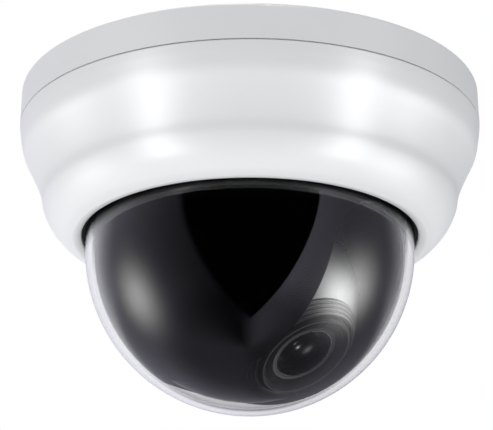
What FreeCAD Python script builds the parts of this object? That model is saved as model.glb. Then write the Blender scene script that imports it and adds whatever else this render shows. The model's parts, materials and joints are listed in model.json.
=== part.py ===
import FreeCAD, Part
import math
import os

# Ceiling-mounted dome camera, millimetres.
# Frame: origin at the centre of the ceiling face, +Z up, so the object hangs below z = 0.
# Three nested frames are used: the body frame, the yoke frame (turned about Z to the slot's heading)
# and the lens frame (its +Z along the optical axis, its +Y along the tilt axis, origin at the gimbal centre).

# --- driving dimensions: housing ---
BASE_TOP_R = 64.6
BODY_R = 65.0
SEAM_Z = -10.5
SEAM_GAP = 0.3
BASE_WALL = 2.5
FLOOR = 2.5
POCKET_DEPTH = 1.2
POCKET_RINGS = ((15.0, 23.0), (35.0, 47.0))
POCKET_RIBS = 12
RIM_R = 61.0
RIM_WALL = 2.5
RIM_LOW_Z = -16.0
COVER_WALL = 2.2
# radius and height of the cover's outside: shoulder, waist and lip
COVER_OUTLINE = [
    (BODY_R, SEAM_Z - SEAM_GAP), (64.6, -14.2), (63.8, -18.3), (61.9, -22.3), (60.1, -26.4),
    (58.7, -30.5), (57.95, -34.5), (55.9, -38.6), (52.6, -42.2), (49.5, -43.7),
]
LIP_JOIN_Z = -36.0
OPENING_R = 47.0
LIP_LOW_Z = -43.2
SEAT_Z = -40.6
SEAT_R = 51.2
RING_SCREW_AT = 51.9
RING_SCREW_ANGLES = (45, 135, 225, 315)

# --- driving dimensions: bubble and liner ---
DOME_Z = -47.0
BUBBLE_R = 46.0
BUBBLE_WALL = 1.8
BUBBLE_TOP_Z = -40.0
FLANGE_R = 49.7
FLANGE_H = 2.5
LINER_Z = -47.4
LINER_R = 43.4
LINER_WALL = 1.2
LINER_TOP_Z = -25.3
LINER_FLANGE_R = 35.0
SLOT_HALF = 16.0
SLOT_UPPER_DEG = 15.2
SLOT_PAST_NADIR_DEG = 14.5
SHUTTER_GAP = 0.35
SHUTTER_WALL = 0.8
SHUTTER_HALF = 17.4
SHUTTER_NEAR_DEG = 15.0
SHUTTER_FAR_DEG = 65.0
SHUTTER_HOLE_R = 17.6

# --- driving dimensions: base interior ---
CABLE_HOLE_R = 11.0
CABLE_BORE_R = 4.5
CEILING_PCD = 104.0
CEILING_HOLE_R = 2.25
BOARD_Z = -8.5
BOARD_T = 1.6
BOARD_R = 47.5
BOARD_HOLE_R = 15.0
STANDOFF_AT = 38.0
STANDOFF_R = 3.0
POST_AT = 43.5
POST_R = 3.5
COLLAR_R = 5.0
COLLAR_H = 1.5
ENTRY_HALF = 9.0
ENTRY_LOW_Z = -9.0
ENTRY_TOP_Z = -3.5
PLATE_Z = -19.0
PLATE_T = 2.5
PLATE_R = 41.5
SPRING_ANGLES = (60, 180, 300)
POST_ANGLES = (30, 150, 270)
STANDOFF_ANGLES = (0, 90, 180, 250)
CEILING_ANGLES = (80, 200, 320)
RESET_AT = 44.0
RESET_ANGLE = 115
SPRING_SCREW_Z = -8.0

# --- driving dimensions: gimbal ---
GIMBAL_Z = -53.0
HEADING_DEG = -36.0
TILT_DEG = 33.5
HUB_R = 12.0
RUNNING = 0.05
TABLE_Z = -22.0
TABLE_T = 3.0
TABLE_R = 40.0
LOCK_AT = 31.0
FOOT_SCREW_AT = 30.8
LINER_SCREW_AT = 37.5
LINER_SCREW_ANGLES = (54, 174, 294)
WASHER_SCREW_AT = 9.2
WASHER_SCREW_ANGLES = (0, 120, 240)
ARM_AT = 26.0
ARM_T = 2.5
ARM_HALF = 9.0
PIVOT_R = 2.5
EYE_FORWARD = 12.0
EYE_R = 24.5
EYE_WALL = 1.5
EYE_BACK = -3.0
EYE_FRONT = 17.3
EAR_AT = 20.8
EAR_T = 2.4
EAR_HALF = 7.0
FRAME_HOLE_R = HUB_R + RUNNING
RATCHET_R = 26.6
RATCHET_TEETH = 30
RATCHET_FROM_DEG = 64.5
RATCHET_SPAN_DEG = 75.0

# --- driving dimensions: lens, stations along the optical axis from the gimbal centre ---
LENS_FRONT = 33.8
FRONT_R = 13.6
BEZEL_BORE_R = 14.1
BEZEL_STEPS = 4
BEZEL_STEP_H = 0.9
BEZEL_STEP_R = 0.7
BARREL_R = 9.0
BARREL_BORE_R = 6.8
RING_OUT_R = 13.0
ZOOM_FROM = 12.0
ZOOM_TO = 17.0
FOCUS_FROM = 18.0
FOCUS_TO = 24.0
BOARD_BACK = -9.0
SENSOR_BOARD = 26.0
GLASS_R = 8.0
RETAINER_R = 8.5

V = FreeCAD.Vector
X = V(1, 0, 0)
Y = V(0, 1, 0)
Z = V(0, 0, 1)
YOKE = FreeCAD.Placement(V(0, 0, 0), FreeCAD.Rotation(Z, HEADING_DEG))
LENS = (
    FreeCAD.Placement(V(0, 0, GIMBAL_Z), FreeCAD.Rotation(Z, HEADING_DEG))
    * FreeCAD.Placement(V(0, 0, 0), FreeCAD.Rotation(Y, 180.0 - TILT_DEG))
)

os.makedirs("parts", exist_ok=True)


# --- helpers ---
def placed(shape, place):
    return shape.transformed(place.toMatrix())


def save(name, shape, place=None):
    if place:
        shape = placed(shape, place)
    shape.exportStep("parts/%s.step" % name)


def tube(r_out, r_in, low, high):
    body = Part.makeCylinder(r_out, high - low, V(0, 0, low))
    if r_in > 0:
        body = body.cut(Part.makeCylinder(r_in, high - low + 2, V(0, 0, low - 1)))
    return body


def block(x0, x1, y0, y1, z0, z1):
    return Part.makeBox(x1 - x0, y1 - y0, z1 - z0, V(x0, y0, z0))


def polar(radius, degrees):
    a = math.radians(degrees)
    return radius * math.cos(a), radius * math.sin(a)


def turned(points):
    """Solid of revolution about Z from a closed outline of (radius, z)."""
    wire = Part.makePolygon([V(r, 0, z) for r, z in points + points[:1]])
    return Part.Face(wire).revolve(V(0, 0, 0), Z, 360)


def around(make, radius, angles):
    """One copy of the shape made by make() at each angle, as a list."""
    copies = []
    for degrees in angles:
        x, y = polar(radius, degrees)
        spot = FreeCAD.Placement(V(x, y, 0), FreeCAD.Rotation(Z, degrees))
        copies.append(placed(make(), spot))
    return copies


def joined(body, pieces):
    for piece in pieces:
        body = body.fuse(piece)
    return body.removeSplitter()


def without(body, pieces):
    for piece in pieces:
        body = body.cut(piece)
    return body


def screw(shank_r, length, head_r, head_h, under_head=0.0):
    """Cross-recess screw, its shank pointing to +Z from the underside of its head."""
    shank = Part.makeCylinder(shank_r, length, V(0, 0, under_head))
    head = Part.makeCylinder(head_r, head_h, V(0, 0, under_head - head_h))
    head = head.makeFillet(0.35 * head_h, [head.Edges[2]])
    arm = 0.55 * head_r
    slot = 0.14 * head_r
    depth = 0.5 * head_h
    floor = under_head - head_h
    recess = block(-arm, arm, -slot, slot, floor - 1, floor + depth)
    recess = recess.fuse(block(-slot, slot, -arm, arm, floor - 1, floor + depth))
    return shank.fuse(head).cut(recess)


def aim(shape, axis, origin):
    """Turns a shape built along +Z so that it runs along axis from origin."""
    return placed(shape, FreeCAD.Placement(origin, FreeCAD.Rotation(Z, axis)))


# --- base and what it carries ---
def mounting_base():
    outside = Part.makeCone(BODY_R, BASE_TOP_R, -SEAM_Z, V(0, 0, SEAM_Z))
    edges = {round(e.BoundBox.ZMin, 2): e for e in outside.Edges if e.BoundBox.ZLength < 0.01}
    outside = outside.makeFillet(1.0, [edges[0.0]])
    hollow = Part.makeCylinder(BODY_R - BASE_WALL, -SEAM_Z - FLOOR + 1, V(0, 0, SEAM_Z - 1))
    collars = around(lambda: tube(COLLAR_R, 0, -FLOOR - COLLAR_H, -FLOOR), CEILING_PCD / 2, CEILING_ANGLES)
    body = joined(outside.cut(hollow), collars)
    holes = around(lambda: tube(CEILING_HOLE_R, 0, -FLOOR - 3, 1), CEILING_PCD / 2, CEILING_ANGLES)
    holes.append(tube(CABLE_HOLE_R, 0, -FLOOR - 1, 1))
    holes.append(side_entry(ENTRY_HALF, ENTRY_LOW_Z, ENTRY_TOP_Z))
    return without(body, holes + ceiling_pockets())


def ceiling_pockets():
    """Shallow rings in the ceiling face that save material, crossed by ribs."""
    ribs = []
    for i in range(POCKET_RIBS):
        rib = block(10, 60, -0.8, 0.8, -FLOOR, 2)
        ribs.append(placed(rib, FreeCAD.Placement(V(0, 0, 0), FreeCAD.Rotation(Z, i * 360.0 / POCKET_RIBS))))
    return [without(tube(outer, inner, -POCKET_DEPTH, 1), ribs) for inner, outer in POCKET_RINGS]


def snap_ring():
    """Inner ring under the base that carries the springs and centres the cover."""
    ring = tube(RIM_R, RIM_R - RIM_WALL, RIM_LOW_Z, -FLOOR)
    pilots = [aim(tube(1.05, 0, 0, 2.2), V(*polar(1, a), 0), V(*polar(RIM_R - RIM_WALL, a), SPRING_SCREW_Z))
              for a in SPRING_ANGLES]
    return without(ring, [side_entry(ENTRY_HALF, ENTRY_LOW_Z, ENTRY_TOP_Z)] + pilots)


def side_entry(half, low, high):
    return block(-half, half, RIM_R - RIM_WALL - 2, BODY_R + 2, low, high)


def side_entry_plug():
    shell = Part.makeCone(BODY_R, BASE_TOP_R, -SEAM_Z, V(0, 0, SEAM_Z))
    shell = shell.cut(Part.makeCylinder(BODY_R - BASE_WALL - 1.2, 14, V(0, 0, -12)))
    face = shell.common(side_entry(ENTRY_HALF - 0.1, ENTRY_LOW_Z + 0.1, ENTRY_TOP_Z - 0.1))
    latch = block(-5, 5, RIM_R - RIM_WALL + 0.4, BODY_R - BASE_WALL, -7.2, -5.2)
    return face.fuse(latch).removeSplitter()


def cable_grommet():
    return turned([
        (CABLE_BORE_R, 0), (CABLE_HOLE_R - 0.02, 0), (CABLE_HOLE_R - 0.02, -FLOOR),
        (CABLE_HOLE_R + 2.5, -FLOOR), (CABLE_HOLE_R + 2.0, -FLOOR - 2.0), (CABLE_BORE_R, -FLOOR - 2.0),
    ])


def main_board():
    board = tube(BOARD_R, BOARD_HOLE_R, BOARD_Z - BOARD_T, BOARD_Z)
    notches = around(lambda: tube(POST_R + 0.6, 0, BOARD_Z - 5, BOARD_Z + 5), POST_AT, POST_ANGLES)
    holes = around(lambda: tube(1.6, 0, BOARD_Z - 5, BOARD_Z + 5), STANDOFF_AT, STANDOFF_ANGLES)
    return without(board, notches + holes)


def under_board(x0, x1, y0, y1, height):
    top = BOARD_Z - BOARD_T
    return block(x0, x1, y0, y1, top - height, top)


def board_parts():
    top = BOARD_Z - BOARD_T
    save("video_processor", under_board(-35, -19, -21, -5, 1.8))
    save("memory_chip", under_board(-36, -24, 7, 17, 1.1))
    cans = []
    for x, y in ((20, -28), (27.5, -24), (12, -33)):
        can = Part.makeCylinder(3.2, 6.2, V(x, y, top - 6.8))
        can = can.makeFillet(0.5, [can.Edges[2]])
        cans.append(can.fuse(block(x - 3.3, x + 3.3, y - 3.3, y + 3.3, top - 0.9, top)).removeSplitter())
    save("capacitors", Part.makeCompound(cans))
    coil = Part.makeCylinder(3.1, 3.6, V(31, -13, top - 3.8))
    save("inductor", coil.fuse(block(27.5, 34.5, -16.5, -9.5, top - 0.8, top)).removeSplitter())
    save("power_terminal", power_terminal(top))
    save("video_header", header(top, -10, 10, 21, 27, 8))
    save("harness_header", header(top, -12, 4, -27, -21.5, 6))


def power_terminal(top):
    body = under_board(23, 31, 10, 22, 7.6)
    cuts = []
    for y in (13, 19):
        cuts.append(block(22, 26.5, y - 1.7, y + 1.7, top - 5.2, top - 1.6))
        cuts.append(Part.makeCylinder(1.6, 2.0, V(28, y, top - 7.7)))
    return without(body, cuts)


def header(top, x0, x1, y0, y1, pins):
    """Open shroud with a row of contact pins inside, facing down."""
    height = 5.5
    body = under_board(x0, x1, y0, y1, height)
    well = block(x0 + 1, x1 - 1, y0 + 1, y1 - 1, top - height - 1, top - 1.2)
    body = body.cut(well)
    pitch = (x1 - x0 - 3.0) / (pins - 1)
    middle = (y0 + y1) / 2
    rows = [block(x0 + 1.5 + i * pitch - 0.3, x0 + 1.5 + i * pitch + 0.3, middle - 0.3, middle + 0.3,
                  top - 4.6, top - 1.2) for i in range(pins)]
    return joined(body, rows)


def reset_parts():
    top = BOARD_Z - BOARD_T
    x, y = polar(RESET_AT, RESET_ANGLE)
    case = block(x - 3, x + 3, y - 3, y + 3, top - 3.4, top)
    case = case.cut(Part.makeCylinder(1.7 + RUNNING, 2.6, V(x, y, top - 3.5)))
    save("reset_switch", case)
    button = Part.makeCylinder(1.7, 3.0, V(x, y, top - 4.9))
    save("reset_button", button.makeFillet(0.3, [button.Edges[2]]))


def gimbal_plate():
    plate = tube(PLATE_R, 0, PLATE_Z - PLATE_T, PLATE_Z)
    lobes = around(lambda: tube(4.6, 0, PLATE_Z - PLATE_T, PLATE_Z), POST_AT, POST_ANGLES)
    plate = joined(plate, lobes)
    holes = around(lambda: tube(1.6, 0, PLATE_Z - 9, PLATE_Z + 9), POST_AT, POST_ANGLES)
    holes.append(tube(HUB_R + RUNNING, 0, PLATE_Z - 9, PLATE_Z + 9))
    for degrees in (90, 210, 330):
        window = tube(34, 19, PLATE_Z - 9, PLATE_Z + 9)
        wedge = Part.makeCylinder(60, 30, V(0, 0, PLATE_Z - 15), Z, 62)
        wedge = placed(wedge, FreeCAD.Placement(V(0, 0, 0), FreeCAD.Rotation(Z, degrees - 31)))
        holes.append(window.common(wedge))
    return without(plate, holes)


def cover_springs():
    """Leaf springs on the inner rim whose crests hold the cover's skirt."""
    leaf_r = RIM_R - RIM_WALL - 0.25
    t = 0.5
    crest = RIM_R - 0.1
    outline = [
        (leaf_r, -5.0), (leaf_r, -16.6), (crest, -18.2), (leaf_r - 0.6, -20.6),
        (leaf_r - 1.1, -20.4), (crest - 0.7, -18.2), (leaf_r - t, -16.9), (leaf_r - t, -5.0),
    ]
    leaves = []
    for degrees in SPRING_ANGLES:
        wire = Part.makePolygon([V(r, -5, z) for r, z in outline + outline[:1]])
        leaf = Part.Face(wire).extrude(V(0, 10, 0))
        leaf = leaf.common(tube(80, leaf_r - 3.0, -30, 0))
        leaf = leaf.cut(aim(Part.makeCylinder(1.15, 8), X, V(leaf_r - 4, 0, SPRING_SCREW_Z)))
        leaves.append(placed(leaf, FreeCAD.Placement(V(0, 0, 0), FreeCAD.Rotation(Z, degrees))))
    return Part.makeCompound(leaves)


def spring_screws():
    screws = []
    for degrees in SPRING_ANGLES:
        item = aim(screw(1.0, 2.6, 2.0, 1.2), X, V(RIM_R - RIM_WALL - 0.75, 0, SPRING_SCREW_Z))
        screws.append(placed(item, FreeCAD.Placement(V(0, 0, 0), FreeCAD.Rotation(Z, degrees))))
    return Part.makeCompound(screws)


def base_group():
    save("mounting_base", mounting_base())
    save("snap_ring", snap_ring())
    standoffs = around(lambda: tube(STANDOFF_R, 1.25, BOARD_Z, -FLOOR), STANDOFF_AT, STANDOFF_ANGLES)
    posts = around(lambda: tube(POST_R, 1.55, PLATE_Z, -FLOOR), POST_AT, POST_ANGLES)
    save("base_spacers", Part.makeCompound(standoffs + posts))
    save("side_entry_plug", side_entry_plug())
    save("cable_grommet", cable_grommet())
    save("main_board", main_board())
    board_face = BOARD_Z - BOARD_T
    board_screw = lambda: screw(1.2, 5.5, 2.6, 1.6, board_face)
    save("board_screws", Part.makeCompound(around(board_screw, STANDOFF_AT, STANDOFF_ANGLES)))
    board_parts()
    reset_parts()
    save("gimbal_plate", gimbal_plate())
    plate_screw = lambda: screw(1.5, 9.0, 2.6, 1.7, PLATE_Z - PLATE_T)
    save("gimbal_plate_screws", Part.makeCompound(around(plate_screw, POST_AT, POST_ANGLES)))
    save("cover_springs", cover_springs())
    save("spring_screws", spring_screws())


# --- cover, bubble and their seal ---
def spline(points):
    curve = Part.BSplineCurve()
    curve.interpolate(points)
    return curve


def inside_curve(outer):
    """The cover's inner face: the outside curve moved in by the wall, down to the bubble's seat."""
    first, last = outer.FirstParameter, outer.LastParameter
    steps = len(COVER_OUTLINE)
    points = []
    for i in range(steps):
        u = first + (last - first) * i / (steps - 1)
        along = outer.tangent(u)[0]
        points.append(outer.value(u) + V(along.z, 0, -along.x) * COVER_WALL)
    points[0] = V(points[0].x, 0, COVER_OUTLINE[0][1])
    return spline([p for p in points if p.z > SEAT_Z + 1.0] + [V(SEAT_R, 0, SEAT_Z)])


def dome_cover():
    outer = spline([V(r, 0, z) for r, z in COVER_OUTLINE])
    inner = inside_curve(outer)
    first_out = outer.value(outer.FirstParameter)
    last_out = outer.value(outer.LastParameter)
    first_in = inner.value(inner.FirstParameter)
    last_in = inner.value(inner.LastParameter)
    lip_mid = V(0.5 * (last_out.x + OPENING_R) - 0.1, 0, last_out.z + 0.08)
    lip_end = V(OPENING_R, 0, LIP_LOW_Z)
    corner = V(OPENING_R, 0, SEAT_Z)
    edges = [
        outer.toShape(),
        Part.Arc(last_out, lip_mid, lip_end).toShape(),
        Part.makeLine(lip_end, corner),
        Part.makeLine(corner, last_in),
        inner.toShape(),
        Part.makeLine(first_in, first_out),
    ]
    wire = Part.Wire(Part.__sortEdges__(edges))
    shell = Part.Face(wire).revolve(V(0, 0, 0), Z, 360)
    boss = lambda: tube(2.0, 0, SEAT_Z - 0.2, BUBBLE_TOP_Z + FLANGE_H)
    shell = joined(shell, around(boss, RING_SCREW_AT, RING_SCREW_ANGLES))
    pilots = around(lambda: tube(1.05, 0, SEAT_Z + 0.6, BUBBLE_TOP_Z + 9), RING_SCREW_AT, RING_SCREW_ANGLES)
    return without(shell, pilots)


def split_at(shape, z):
    """The parts of a shape above and below a level plane, as two solids."""
    reach = 2 * BODY_R
    above = shape.common(block(-reach, reach, -reach, reach, z, z + reach))
    below = shape.common(block(-reach, reach, -reach, reach, z - reach, z))
    return above, below


def dome_bubble():
    outside = Part.makeSphere(BUBBLE_R, V(0, 0, DOME_Z), Z, -90, 0, 360)
    outside = outside.fuse(tube(BUBBLE_R, 0, DOME_Z, BUBBLE_TOP_Z + FLANGE_H))
    outside = outside.fuse(tube(FLANGE_R, 0, BUBBLE_TOP_Z, BUBBLE_TOP_Z + FLANGE_H)).removeSplitter()
    inner_r = BUBBLE_R - BUBBLE_WALL
    inside = Part.makeSphere(inner_r, V(0, 0, DOME_Z), Z, -90, 0, 360)
    inside = inside.fuse(tube(inner_r, 0, DOME_Z, BUBBLE_TOP_Z + FLANGE_H + 1)).removeSplitter()
    return outside.cut(inside)


def bubble_gasket():
    return turned([
        (BUBBLE_R + 0.05, BUBBLE_TOP_Z), (FLANGE_R, BUBBLE_TOP_Z), (FLANGE_R, SEAT_Z),
        (OPENING_R - 0.05, SEAT_Z), (OPENING_R - 0.05, SEAT_Z - 1.7), (BUBBLE_R + 0.05, SEAT_Z - 1.7),
    ])


def cover_group():
    upper, lip = split_at(dome_cover(), LIP_JOIN_Z)
    save("dome_cover", upper)
    save("cover_lip", lip)
    flange, dome = split_at(dome_bubble(), DOME_Z)
    save("dome_bubble", dome)
    save("bubble_flange", flange)
    save("bubble_gasket", bubble_gasket())
    top = BUBBLE_TOP_Z + FLANGE_H
    ring = tube(53.6, 44.5, top, top + 2.3)
    ring = without(ring, around(lambda: tube(1.3, 0, top - 1, top + 5), RING_SCREW_AT, RING_SCREW_ANGLES))
    save("bubble_retaining_ring", ring)
    down = FreeCAD.Placement(V(0, 0, top + 2.3), FreeCAD.Rotation(X, 180))
    item = lambda: placed(screw(1.0, 4.2, 2.0, 1.4), down)
    save("retaining_ring_screws", Part.makeCompound(around(item, RING_SCREW_AT, RING_SCREW_ANGLES)))


# --- pan carriage: turntable, yoke and liner ---
def pan_turntable():
    table = tube(TABLE_R, 0, TABLE_Z - TABLE_T, TABLE_Z)
    hub = tube(HUB_R, 0, TABLE_Z, PLATE_Z + 0.3)
    table = joined(table, [hub])
    cuts = [tube(6.5, 0, -40, -10)]
    cuts += around(lambda: tube(1.05, 0, PLATE_Z - 3.0, PLATE_Z + 2), WASHER_SCREW_AT, WASHER_SCREW_ANGLES)
    cuts += around(lambda: tube(1.25, 0, -40, -10), LINER_SCREW_AT, LINER_SCREW_ANGLES)
    cuts.append(Part.makeCylinder(2.05, 30, V(-LOCK_AT, 0, -40)))
    for side in (-1, 1):
        for x in (-5, 5):
            cuts.append(Part.makeCylinder(1.25, 30, V(x, side * FOOT_SCREW_AT, -40)))
    for side in (-1, 1):
        cuts.append(block(-14, 14, side * 17 - 2.5, side * 17 + 2.5, -40, -10))
    return without(table, cuts)


def yoke_arm(side):
    inner = side * ARM_AT
    outer = side * (ARM_AT + ARM_T)
    foot_out = side * 33.0
    low, high = sorted((inner, outer))
    foot_low, foot_high = sorted((inner, foot_out))
    table_low = TABLE_Z - TABLE_T
    plate = block(-ARM_HALF, ARM_HALF, low, high, GIMBAL_Z, table_low)
    boss = Part.makeCylinder(ARM_HALF, ARM_T, V(0, low, GIMBAL_Z), Y)
    foot = block(-8, 8, foot_low, foot_high, table_low - 2.2, table_low)
    arm = joined(plate, [boss, foot])
    cuts = [Part.makeCylinder(PIVOT_R + RUNNING, 60, V(0, -30 if side < 0 else 0, GIMBAL_Z), Y)]
    cuts.append(block(-4, 4, low - 1, high + 1, GIMBAL_Z + 9, table_low - 6))
    for x in (-5, 5):
        cuts.append(Part.makeCylinder(1.45, 10, V(x, side * FOOT_SCREW_AT, table_low - 6)))
    return without(arm, cuts)


def slot_cutter():
    """The swept window that the lens looks through: a band round the tilt axis with round ends."""
    reach = LINER_R + 4
    centre = V(0, 0, LINER_Z)
    up_dir = V(math.cos(math.radians(SLOT_UPPER_DEG)), 0, -math.sin(math.radians(SLOT_UPPER_DEG)))
    far_dir = V(-math.sin(math.radians(SLOT_PAST_NADIR_DEG)), 0, -math.cos(math.radians(SLOT_PAST_NADIR_DEG)))
    inner_r = 20.0
    wire = Part.makePolygon([
        centre + up_dir * inner_r + V(0, -SLOT_HALF, 0), centre + up_dir * reach + V(0, -SLOT_HALF, 0),
        centre + up_dir * reach + V(0, SLOT_HALF, 0), centre + up_dir * inner_r + V(0, SLOT_HALF, 0),
        centre + up_dir * inner_r + V(0, -SLOT_HALF, 0),
    ])
    sweep = 90.0 - SLOT_UPPER_DEG + SLOT_PAST_NADIR_DEG
    band = Part.Face(wire).revolve(centre, Y, sweep)
    ends = [Part.makeCylinder(SLOT_HALF, reach - inner_r, centre + d * inner_r, d) for d in (up_dir, far_dir)]
    return joined(band, ends)


def inner_liner():
    outside = Part.makeSphere(LINER_R, V(0, 0, LINER_Z), Z, -90, 0, 360)
    outside = outside.fuse(tube(LINER_R, 0, LINER_Z, LINER_TOP_Z)).removeSplitter()
    r = LINER_R - LINER_WALL
    inside = Part.makeSphere(r, V(0, 0, LINER_Z), Z, -90, 0, 360)
    inside = inside.fuse(tube(r, 0, LINER_Z, LINER_TOP_Z - 1.5)).removeSplitter()
    mouth = tube(LINER_FLANGE_R, 0, LINER_TOP_Z - 3, LINER_TOP_Z + 1)
    liner = outside.cut(inside).cut(mouth)
    holes = around(lambda: tube(1.45, 0, -40, -20), LINER_SCREW_AT, LINER_SCREW_ANGLES)
    return without(liner.cut(slot_cutter()), holes)


def slot_shutter():
    """Strip that slides inside the liner and closes the slot beyond the lens, cut away round the lens."""
    centre = V(0, 0, LINER_Z)
    outer_r = LINER_R - LINER_WALL - SHUTTER_GAP
    shell = Part.makeSphere(outer_r, centre).cut(Part.makeSphere(outer_r - SHUTTER_WALL, centre))
    near = math.radians(SHUTTER_NEAR_DEG)
    near_dir = V(math.sin(near), 0, -math.cos(near))
    side = V(0, SHUTTER_HALF, 0)
    inner, outer = centre + near_dir * (outer_r - 5), centre + near_dir * (outer_r + 5)
    wire = Part.makePolygon([inner - side, outer - side, outer + side, inner + side, inner - side])
    band = Part.Face(wire).revolve(centre, Y, SHUTTER_NEAR_DEG + SHUTTER_FAR_DEG)
    tilt = math.radians(TILT_DEG)
    sight = V(math.sin(tilt), 0, -math.cos(tilt))
    hole = Part.makeCylinder(SHUTTER_HOLE_R, 2 * LINER_R, V(0, 0, GIMBAL_Z), sight)
    return shell.common(band).cut(hole)


def tilt_pawl():
    """Leaf fixed under the turntable whose tip points at the ratchet teeth."""
    table_low = TABLE_Z - TABLE_T
    beta = math.radians(49.5)
    tip = RATCHET_R + 0.5
    tx, tz = tip * math.cos(beta), GIMBAL_Z + tip * math.sin(beta)
    points = [
        (22, table_low), (28, table_low), (28, table_low - 1.0), (23.2, table_low - 1.0),
        (tx + 1.0, tz + 1.0), (tx + 0.2, tz), (tx, tz + 0.3), (22, table_low - 1.6),
    ]
    wire = Part.makePolygon([V(x, 4, z) for x, z in points + points[:1]])
    return Part.Face(wire).extrude(V(0, 6, 0))


def pan_group():
    save("pan_turntable", pan_turntable(), YOKE)
    washer_low = PLATE_Z + 0.3
    washer = tube(HUB_R + 3, 6.5, washer_low, washer_low + 1.2)
    washer = without(washer, around(lambda: tube(1.2, 0, -30, 0), WASHER_SCREW_AT, WASHER_SCREW_ANGLES))
    save("pan_retaining_washer", washer, YOKE)
    flip = FreeCAD.Placement(V(0, 0, washer_low + 1.2), FreeCAD.Rotation(X, 180))
    washer_screw = lambda: placed(screw(1.0, 3.8, 1.9, 1.2), flip)
    washer_screws = around(washer_screw, WASHER_SCREW_AT, WASHER_SCREW_ANGLES)
    table_low = TABLE_Z - TABLE_T
    lock_spot = FreeCAD.Placement(V(-LOCK_AT, 0, table_low), FreeCAD.Rotation())
    lock = placed(screw(2.0, TABLE_T + 0.2, 3.6, 2.4), lock_spot)
    save("pan_lock_screw", lock, YOKE)
    save("yoke_arm_left", yoke_arm(-1), YOKE)
    save("yoke_arm_right", yoke_arm(1), YOKE)
    foot_low = table_low - 2.2
    spots = [(x, side * FOOT_SCREW_AT) for side in (-1, 1) for x in (-5, 5)]
    foot_screws = [placed(screw(1.2, 4.9, 1.9, 1.4), FreeCAD.Placement(V(x, y, foot_low), FreeCAD.Rotation()))
                   for x, y in spots]
    liner_screw = lambda: screw(1.2, 4.0, 2.2, 1.3, LINER_TOP_Z - 1.5)
    liner_screws = around(liner_screw, LINER_SCREW_AT, LINER_SCREW_ANGLES)
    save("carriage_screws", Part.makeCompound(foot_screws + washer_screws + liner_screws), YOKE)
    collar, cup = split_at(inner_liner(), LINER_Z)
    save("inner_liner", cup, YOKE)
    save("liner_collar", collar, YOKE)
    save("slot_shutter", slot_shutter(), YOKE)
    save("tilt_pawl", tilt_pawl(), YOKE)


# --- tilt head, built in the lens frame ---
def eyeball_shell():
    ball = Part.makeSphere(EYE_R, V(0, 0, EYE_FORWARD))
    hollow = Part.makeSphere(EYE_R - EYE_WALL, V(0, 0, EYE_FORWARD))
    keep = tube(40, 0, EYE_FORWARD + EYE_BACK, EYE_FORWARD + EYE_FRONT)
    shell = ball.common(keep).cut(hollow)
    front = tube(17.0, 0, EYE_FORWARD + EYE_FRONT - 1.5, EYE_FORWARD + EYE_FRONT)
    shell = shell.fuse(front)
    for side in (-1, 1):
        low = EAR_AT if side > 0 else -EAR_AT - EAR_T
        ear = block(-EAR_HALF, EAR_HALF, low, low + EAR_T, 0, EYE_FORWARD - 2.0)
        ear = ear.fuse(Part.makeCylinder(EAR_HALF, EAR_T, V(0, low, 0), Y))
        shell = shell.fuse(ear)
    shell = shell.removeSplitter()
    bore = tube(14.6, 0, EYE_FORWARD, EYE_FORWARD + EYE_FRONT + 2)
    pivot = Part.makeCylinder(PIVOT_R + 0.02, 80, V(0, -40, 0), Y)
    return without(shell, [bore, pivot])


def stepped_bezel():
    base = EYE_FORWARD + EYE_FRONT
    radius = 17.3
    outline = [(BEZEL_BORE_R, base)]
    for i in range(BEZEL_STEPS):
        r = radius - i * BEZEL_STEP_R
        outline.append((r, base + i * BEZEL_STEP_H))
        outline.append((r, base + (i + 1) * BEZEL_STEP_H))
    outline.append((BEZEL_BORE_R, base + BEZEL_STEPS * BEZEL_STEP_H))
    return turned(outline)


def tilt_frame():
    disc = tube(19.0, FRAME_HOLE_R, 5.5, 8.0)
    for side in (-1, 1):
        low = 18.4 if side > 0 else -EAR_AT
        disc = disc.fuse(block(-6, 6, low, low + EAR_AT - 18.4, -5, 8.0))
    disc = disc.removeSplitter()
    return disc.cut(Part.makeCylinder(PIVOT_R + 0.02, 80, V(0, -40, 0), Y))


def tilt_ratchet():
    """Toothed arc about the tilt axis, rising from the rear edge of the ball."""
    step = RATCHET_SPAN_DEG / RATCHET_TEETH
    inner = RATCHET_R - 3.0
    outline = []
    for i in range(RATCHET_TEETH):
        start = RATCHET_FROM_DEG + i * step
        for share, radius in ((0.0, RATCHET_R - 0.7), (0.35, RATCHET_R), (0.65, RATCHET_R)):
            a = math.radians(start + share * step)
            outline.append(V(-radius * math.sin(a), 0, radius * math.cos(a)))
    end = math.radians(RATCHET_FROM_DEG + RATCHET_SPAN_DEG)
    middle = math.radians(RATCHET_FROM_DEG + RATCHET_SPAN_DEG / 2)
    start = math.radians(RATCHET_FROM_DEG)
    inner_end = V(-inner * math.sin(end), 0, inner * math.cos(end))
    inner_mid = V(-inner * math.sin(middle), 0, inner * math.cos(middle))
    inner_start = V(-inner * math.sin(start), 0, inner * math.cos(start))
    teeth = Part.makePolygon(outline + [inner_end])
    arc = Part.Arc(inner_end, inner_mid, inner_start).toShape()
    close = Part.makeLine(inner_start, outline[0])
    wire = Part.Wire(teeth.Edges + [arc, close])
    sector = placed(Part.Face(wire).extrude(V(0, 6, 0)), FreeCAD.Placement(V(0, 4, 0), FreeCAD.Rotation()))
    ball = Part.makeSphere(EYE_R + 0.02, V(0, 0, EYE_FORWARD))
    behind = tube(40, 0, EYE_FORWARD + EYE_BACK, 40)
    return sector.cut(ball.common(behind))


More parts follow.
